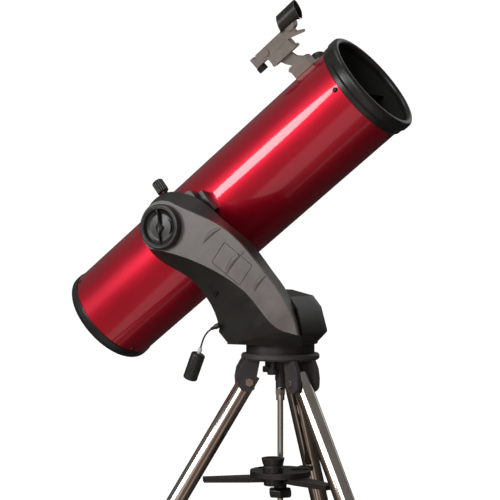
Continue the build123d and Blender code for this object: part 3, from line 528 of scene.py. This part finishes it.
def eyepiece_section(shoulder, barrel, body, cup):
    """Half the section of an eyepiece with a chamfered barrel, a fluted grip and a soft cup."""
    return [
        (0, shoulder - barrel + 3), (13.6, shoulder - barrel + 3), (13.9, shoulder - barrel),
        (14.9, shoulder - barrel), (15.875, shoulder - barrel + 1), (15.875, shoulder),
        (body, shoulder), (body, shoulder + 9.5), (body - 1.2, shoulder + 10.5),
        (body - 1.2, shoulder + 13.5), (body, shoulder + 14.5), (cup, shoulder + 23),
        (cup, shoulder + 24.8), (cup - 2, shoulder + 24.8), (cup - 7, shoulder + 20),
        (8, shoulder + 19), (0, shoulder + 17.5),
    ]


def make_eyepieces():
    """The eyepiece in the focuser and the spare one standing in the tray, turned with a fluted grip."""
    at = on_tube(36, 319)
    low, high = spans("eyepiece", at)
    section = arc_corners(eyepiece_section(low[2] + 24, 24, 17.0, 17.5), 0.7, 4, False)
    replace("eyepiece", [turned(section, at, 192, False, (30, 0.8, low[2] + 25, low[2] + 33))])
    at = axes(middle("spare_eyepiece") * [1, 1, 0], UP, (1, 0, 0))
    low, high = spans("spare_eyepiece", at)
    section = arc_corners(eyepiece_section(low[2] + 22, 22, 17.6, 19.5), 0.7, 4, False)
    replace("spare_eyepiece", [turned(section, at, 192, False, (30, 0.8, low[2] + 23, low[2] + 31))])


def make_focus_knobs():
    """Two fluted rubber knobs on their shaft beside the drawtube."""
    at = axes(middle("focus_knobs"), along, on_tube(36, 0)[3])
    low, high = spans("focus_knobs", at)
    shaft = [(0, low[2]), (3, low[2]), (3, high[2]), (0, high[2])]
    blocks = [turned(arc_corners(shaft, 0.4, 4, False), at, 32, False)]
    for start in (low[2], high[2] - 14):
        section = [
            (0, start), (12.4, start), (14, start + 1.5), (14, start + 12.5), (12.4, start + 14),
            (0, start + 14)
        ]
        blocks.append(
            turned(
                arc_corners(section, 1.2, 4, False), at, 240, False, (24, 1.0, start + 1, start + 13)
            )
        )
    replace("focus_knobs", blocks)


# ---------------------------------------------------------------- mount head
def make_altitude_knob():
    """The clutch knob: a round rim with a polished edge, a dished floor, and an S-shaped grip across it."""
    low, high = spans("altitude_knob", knob_axes)
    back, front, outer = low[2], high[2], high[0]
    rim = [
        (0, back), (outer - 1, back), (outer, back + 1.5), (outer, front - 3),
        (outer - 2.4, front - 0.3), (outer - 4.6, front - 0.3), (outer - 5.2, front - 1.4),
        (outer - 6.4, front - 1.4), (outer - 7.4, front - 0.6), (outer - 8.6, front - 1.6),
        (outer - 11, front - 7), (outer - 16, front - 9.2), (10, front - 8.4), (0, front - 8),
    ]
    blocks = [turned(arc_corners(rim, 1.6, 6, False), knob_axes, 160, False)]
    s = np.linspace(0, 1, 49)
    height = 62 * (0.5 - s)
    lean = -6.0 + 8.5 * s + 2.0 * np.sin(2 * np.pi * s)
    blade = 1.5 + 1.3 * (1 - s) + 6.4 * np.exp(-(((s - 0.52) / 0.10) ** 2))
    crown = 7.4 - 1.0 * np.exp(-(((s - 0.52) / 0.10) ** 2)) - 3.0 * s**2
    base = np.full_like(s, front - 8.6)
    blocks.append(ridge(np.stack([lean, height, base], axis=1), blade, crown, arm_axes))
    bend = np.radians(np.linspace(58, -48, 33))
    crescent = np.stack(
        [4 + 17 * np.cos(bend), 17 * np.sin(bend), np.full_like(bend, front - 9.0)], axis=1
    )
    thick = 1.3 * np.sin(np.linspace(0.05, np.pi - 0.05, 33)) ** 0.5
    blocks.append(ridge(crescent, thick, 3.2 * thick / 1.3, arm_axes))
    replace("altitude_knob", blocks)


def make_saddle_screw():
    """The thumbscrew that clamps the tube: a fluted head over a collar on a bright stem."""
    at = axes(middle("saddle_screw"), upward, along)
    low, high = spans("saddle_screw", at)
    head = high[2] - 24
    section = [
        (0, low[2]), (3.4, low[2]), (4, low[2] + 1), (4, head - 4), (6.2, head - 3.4), (6.2, head),
        (9.4, head), (10.5, head + 1.6), (10.5, high[2] - 2.0), (8.6, high[2]), (0, high[2]),
    ]
    replace(
        "saddle_screw",
        [turned(arc_corners(section, 0.8, 4, False), at, 216, False, (18, 1.1, head + 1, high[2] - 1))]
    )


DOOR_MIDDLE = np.array([136.0, -62.0])
DOOR_TURN = np.radians(-36.0)
DOOR_WIDTH = 42.0
DOOR_GAP = 0.6
PANEL_RIBS = [
    ((119, -1), (80, -29), 5.0, 4.2), ((163, -39), (122, -86), 7.0, 5.0),
    ((202, -80), (178, -109), 5.0, 4.0),
]


def make_panel_ribs():
    """Three leaf-shaped welts on the arm's panel: their width and height follow sin(pi s) to a power.

    The middle one crosses the battery door, so it is cut at the door's edges and its middle rides the door.
    """
    face = spans("arm_panel", arm_axes)[1][2]
    door_side = np.array([-np.sin(DOOR_TURN), np.cos(DOOR_TURN)])
    s = np.linspace(0.02, 0.98, 97)
    width = np.sin(np.pi * s) ** 0.8
    blocks, on_door = [], []
    for start, end, bulge, size in PANEL_RIBS:
        start, end = np.array(start, float), np.array(end, float)
        side = unit(np.array([end[1] - start[1], start[0] - end[0]]))
        path = start + (end - start) * s[:, None] + side * (bulge * np.sin(np.pi * s))[:, None]
        off_middle = (path - DOOR_MIDDLE) @ door_side
        crosses = np.linalg.norm(path.mean(axis=0) - DOOR_MIDDLE) < DOOR_WIDTH / 2
        path = np.column_stack([path, np.full_like(s, face)])
        edge = DOOR_WIDTH / 2 + DOOR_GAP
        stretches = [(blocks, np.ones_like(s, bool))]
        if crosses:
            stretches = [
                (blocks, off_middle > edge),
                (on_door, np.abs(off_middle) < edge - 2 * DOOR_GAP),
                (blocks, off_middle < -edge),
            ]
        for group, kept in stretches:
            group.append(ridge(path[kept], size * width[kept], 2.4 * width[kept], arm_axes))
    make("panel_ribs", blocks, materials["taupe_panel"], "mount", ())
    make("door_rib", on_door, materials["taupe_panel"], "battery_door", ())


# ---------------------------------------------------------------- dongle on its lead
LEAD_ROUTE = [
    (-81, -82, 745.5), (-92, -82.5, 740.5), (-100.5, -83.5, 730.5), (-105, -84.5, 719.5),
    (-107.6, -85, 710)
]
LEAD_DIAMETER = 3.0


def make_lead():
    """The lead as one smooth line, with its strain reliefs, the plug and the dongle that hangs from it."""
    curve = bpy.data.curves.new("dongle_lead", "CURVE")
    curve.dimensions = "3D"
    spline = curve.splines.new("NURBS")
    spline.points.add(len(LEAD_ROUTE) - 1)
    route = np.array(LEAD_ROUTE) * MM
    spline.points.foreach_set("co", np.column_stack([route, np.ones(len(route))]).ravel())
    spline.order_u = 3
    spline.use_endpoint_u = True
    spline.resolution_u = 16
    curve.bevel_depth = LEAD_DIAMETER / 2 * MM
    curve.bevel_resolution = 6
    curve.use_fill_caps = True
    curve.materials.append(materials["cord_black"])
    lead = bpy.data.objects.new("dongle_lead", curve)
    bpy.context.scene.collection.objects.link(lead)
    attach(lead, "mount")
    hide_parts("wifi_lead")
    fall = axes(route[-1], np.array([-18.7, 0, -46.5]), ACROSS)
    plug_low, plug_high = spans("lead_plug", fall)
    stub = [
        (0, plug_low[2]), (2.6, plug_low[2]), (3.2, plug_low[2] + 1.2), (3.2, plug_low[2] + 3.2),
        (4.0, plug_low[2] + 4.4), (4.0, plug_low[2] + 7.2), (3.4, plug_low[2] + 8.0),
        (3.4, plug_high[2]), (0, plug_high[2]),
    ]
    plug = replace("lead_plug", [turned(arc_corners(stub, 0.6, 4, False), fall, 32, False)])
    low, high = spans("wifi_dongle", fall)
    outer = high[0]
    body = [
        (0, low[2]), (outer - 2.4, low[2]), (outer, low[2] + 2.2), (outer, high[2] - 9),
        (outer - 0.35, high[2] - 8.6), (outer - 0.35, high[2] - 8.0), (outer, high[2] - 7.6),
        (outer, high[2] - 1.8), (outer - 2.4, high[2]), (0, high[2]),
    ]
    dongle = replace("wifi_dongle", [turned(arc_corners(body, 1.6, 5, False), fall, 96, False)])
    leaving = route[1] - route[0]
    relief = axes(route[0], leaving, ACROSS)
    sleeve = [(1.6, -2), (3.4, -2), (3.4, 1), (2.3, 9), (1.6, 9)]
    sleeve = turned(arc_corners(sleeve, 0.5, 4), relief, 32)
    make("lead_relief", [sleeve], materials["cord_black"], "mount", ())


# ---------------------------------------------------------------- tripod
def make_legs():
    """Polished leg tubes and inner legs with rounded ends, and the stepped collars between them."""
    for number in (1, 2, 3):
        at = leg_axes(number)
        low, high = spans(f"leg_tube_{number}", at)
        outer = high[0]
        tube = [
            (0, low[2]), (outer - 1, low[2]), (outer, low[2] + 1), (outer, high[2] - 0.4),
            (outer - 0.4, high[2]), (outer - 1.2, high[2]), (outer - 1.2, low[2] + 3), (0, low[2] + 3),
        ]
        replace(f"leg_tube_{number}", [turned(arc_corners(tube, 0.8, 4, False), at, 96, False)])
        low, high = spans(f"inner_leg_{number}", at)
        outer = high[0]
        tube = [(outer - 1.2, low[2]), (outer, low[2]), (outer, high[2]), (outer - 1.2, high[2])]
        replace(f"inner_leg_{number}", [turned(arc_corners(tube, 0.3, 4), at, 96)])
        low, high = spans(f"leg_collar_{number}", at)
        outer = high[0]
        collar = [
            (16.0, low[2]), (outer - 2.5, low[2]), (outer - 0.8, low[2] + 2), (outer - 0.8, low[2] + 8),
            (outer, low[2] + 10), (outer, high[2] - 8), (outer - 5, high[2]), (13.0, high[2]),
            (13.0, low[2] + 15.2), (16.0, low[2] + 15.2),
        ]
        replace(f"leg_collar_{number}", [turned(arc_corners(collar, 1.6, 5), at, 96)])


ROD_BOSS_FOOT = 641.0


def make_rod_coupling():
    """The plated coupling between the head and the rod: a nut with six flats over a turned collar."""
    at = axes(UP * ROD_BOSS_FOOT * MM, UP, (1, 0, 0))
    nut = [(0, -13), (8.6, -13), (9.2, -12.2), (9.2, -0.3), (0, -0.3)]
    collar = [(5.05, -22), (6.8, -22), (7.2, -21.4), (7.2, -13), (5.05, -13)]
    blocks = [turned(arc_corners(nut, 0.5, 4, False), at, 6, False), turned(arc_corners(collar, 0.4, 4), at, 64)]
    make("rod_coupling", blocks, materials["chrome_hardware"], "tripod", ())


def make_tray_knob():
    """The six-lobed knob under the tray: its radius falls by a rounded scallop between lobes."""
    low, high = spans("tray_knob", floor_axes)
    top, outer = high[2], high[0]
    section = [
        (5.1, top), (10.4, top), (11, top - 0.8), (11, top - 8), (outer - 2.5, top - 8),
        (outer, top - 10.5), (outer, low[2] + 3), (outer - 3, low[2]), (5.1, low[2]),
    ]
    knob = turned(arc_corners(section, 2.2, 6), floor_axes, 192, True, (6, 3.8, low[2] - 3, top - 6.5))
    replace("tray_knob", [knob], 60)


make_tube_ends()
make_tube_screws()
make_eyepieces()
make_focus_knobs()
make_altitude_knob()
make_saddle_screw()
make_panel_ribs()
make_lead()
make_legs()
make_rod_coupling()
make_tray_knob()
ROUNDED_EDGES = {
    "arm_panel": 2.2, "arm_body": 2.0, "battery_door": 0.9, "base_housing": 5.0, "base_plate": 1.0,
    "azimuth_base": 1.0, "tripod_head": 1.2, "hinge_bolts": 0.8, "captive_bolts": 0.8, "saddle": 1.4,
    "dovetail_bar": 1.0, "focuser_base": 1.4, "finder_shoe": 1.0, "finder_bracket": 0.8,
    "finder_rail": 1.2, "finder_hood": 0.5, "spreader_tray": 2.5, "power_rocker": 0.8,
    "leg_foot_1": 2.0, "leg_foot_2": 2.0, "leg_foot_3": 2.0, "leg_clamp_1": 1.4, "leg_clamp_2": 1.4,
    "leg_clamp_3": 1.4, "collimation_screws": 0.6, "drawtube": 0.6, "lead_port": 0.8,
    "finder_dial": 0.5,
}
for node, width in ROUNDED_EDGES.items():
    softened(node, width, materials[slot_of[node]])


# ---------------------------------------------------------------- camera, floor and lights
LENS_MM = 108.0
CAMERA_TURN = np.radians(29.0)
CAMERA_DISTANCE = 2562.3
CAMERA_SIDE = -51.8
CAMERA_HEIGHT = 875.4


def look_along(direction):
    """A rotation whose -Z is the direction and whose Y is as near up as it can be."""
    return Vector(direction).to_track_quat("-Z", "Y").to_matrix().to_4x4()


def add_camera():
    """A level camera in front of the arm and a little towards the tube's mouth."""
    right = np.array([np.cos(CAMERA_TURN), np.sin(CAMERA_TURN), 0])
    away = np.array([-np.sin(CAMERA_TURN), np.cos(CAMERA_TURN), 0])
    data = bpy.data.cameras.new("camera")
    data.lens = LENS_MM
    data.sensor_width = 36.0
    data.clip_end = 60.0
    camera = bpy.data.objects.new("camera", data)
    place = (right * CAMERA_SIDE - away * CAMERA_DISTANCE + UP * CAMERA_HEIGHT) * MM
    camera.matrix_world = Matrix.Translation(place) @ look_along(away)
    bpy.context.scene.collection.objects.link(camera)
    bpy.context.scene.camera = camera


def add_lamp(name, place, target, size, power, shape="RECTANGLE", roll=0.0):
    """A soft lamp at the place, facing the target and rolled about its own axis."""
    data = bpy.data.lights.new(name, "AREA")
    data.shape = shape
    data.size, data.size_y = size
    data.energy = power
    lamp = bpy.data.objects.new(name, data)
    lamp.visible_camera = False
    facing = look_along(Vector(target) - Vector(place))
    lamp.matrix_world = Matrix.Translation(Vector(place)) @ facing @ Matrix.Rotation(roll, 4, "Z")
    bpy.context.scene.collection.objects.link(lamp)


def studio_paper():
    """Pale matt paper with a faint mottle, lit a little more for the camera than for the object."""
    paper = surface(
        "studio_paper", (0.80, 0.80, 0.80), (0.84, 0.84, 0.84), (0.85, 0.95), bump=0.0, dust=0.0,
        specular=0.1, broad=2.0
    )
    tree = paper.node_tree
    path = add(tree, "ShaderNodeLightPath")
    shader = tree.nodes["Principled BSDF"]
    tree.links.new(path.outputs["Is Camera Ray"], shader.inputs["Emission Color"])
    shader.inputs["Emission Strength"].default_value = 0.85
    return paper


def add_backdrop():
    """A round floor that curves up into a wall: the height is 0 to 5 m out, then a quarter circle of 4 m."""
    rising = 5.0 + 4.0 * np.sin(np.linspace(0.05, np.pi / 2, 30))
    reach = np.concatenate([np.linspace(0.0, 5.0, 20), rising])[:, None]
    turn = np.linspace(0.0, 2 * np.pi, 96, endpoint=False)[None, :]
    height = 4.0 * (1 - np.sqrt(np.clip(1 - ((np.maximum(reach, 5.0) - 5.0) / 4.0) ** 2, 0, 1)))
    points = np.stack([reach * np.cos(turn), reach * np.sin(turn), height + 0 * turn], axis=-1)
    vertices, faces = grid(points, False, True, True, False)
    mesh = bpy.data.meshes.new("backdrop")
    mesh.from_pydata(vertices.tolist(), [], faces)
    mesh.shade_smooth()
    mesh.materials.append(studio_paper())
    floor = bpy.data.objects.new("backdrop", mesh)
    bpy.context.scene.collection.objects.link(floor)
    floor.visible_glossy = False


def add_room():
    """The light around the stage: dark warm walls with pale upright panels, and a dim grey ceiling."""
    world = bpy.data.worlds.new("studio")
    bpy.context.scene.world = world
    world.use_nodes = True
    tree = world.node_tree
    background = tree.nodes["Background"]
    place = add(tree, "ShaderNodeTexCoord")
    split = add(tree, "ShaderNodeSeparateXYZ")
    tree.links.new(place.outputs["Generated"], split.inputs["Vector"])
    bearing = math_node(tree, "ARCTAN2", split.outputs["Y"], split.outputs["X"])
    turn = math_node(tree, "DIVIDE", math_node(tree, "ADD", bearing, np.pi), 2 * np.pi)
    walls = add(tree, "ShaderNodeValToRGB")
    stops = ROOM_WALLS
    ramp = walls.color_ramp
    while len(ramp.elements) < len(stops):
        ramp.elements.new(0.5)
    for element, (position, colour) in zip(ramp.elements, stops):
        element.position = position
        element.color = (*colour, 1)
    tree.links.new(turn, walls.inputs["Fac"])
    height = add(tree, "ShaderNodeValToRGB")
    for element, (position, value) in zip(height.color_ramp.elements, ((0.50, 0.0), (0.80, 1.0))):
        element.position = position
        element.color = (value, value, value, 1)
    half = math_node(tree, "MULTIPLY", split.outputs["Z"], 0.5)
    tree.links.new(math_node(tree, "ADD", half, 0.5), height.inputs["Fac"])
    mix = add(tree, "ShaderNodeMix", data_type="RGBA")
    tree.links.new(height.outputs["Color"], mix.inputs["Factor"])
    tree.links.new(walls.outputs["Color"], mix.inputs[6])
    mix.inputs[7].default_value = (0.2, 0.2, 0.2, 1)
    tree.links.new(mix.outputs[2], background.inputs["Color"])
    background.inputs["Strength"].default_value = 1.0


ROOM_WALLS = [
    (0.00, (0.05, 0.04, 0.03)), (0.09, (0.10, 0.08, 0.06)), (0.12, (0.42, 0.38, 0.37)),
    (0.15, (0.42, 0.38, 0.37)), (0.17, (0.16, 0.11, 0.08)), (0.25, (0.26, 0.19, 0.15)),
    (0.26, (0.72, 0.70, 0.69)), (0.325, (0.72, 0.70, 0.69)), (0.335, (0.28, 0.20, 0.16)),
    (0.41, (0.16, 0.11, 0.08)), (0.43, (0.40, 0.36, 0.35)), (0.46, (0.40, 0.36, 0.35)),
    (0.48, (0.10, 0.07, 0.05)), (0.60, (0.03, 0.03, 0.03)), (0.95, (0.03, 0.03, 0.03)),
]
add_camera()
add_backdrop()
add_room()
add_lamp("key", (-0.98, -1.6, 1.26), (0.0, 0.05, 1.08), (0.62, 0.62), 11, "ELLIPSE", np.radians(40))
add_lamp("front", (0.1, -3.4, 2.3), (0, 0, 0.9), (2.0, 1.8), 46)
add_lamp("top", (-0.4, -0.6, 3.4), (0, 0, 0.8), (1.4, 1.4), 8)
add_lamp("back", (0.6, 3.4, 2.4), (0, 0, 0.8), (2.4, 2.0), 9)
bpy.context.scene.view_settings.view_transform = "Standard"
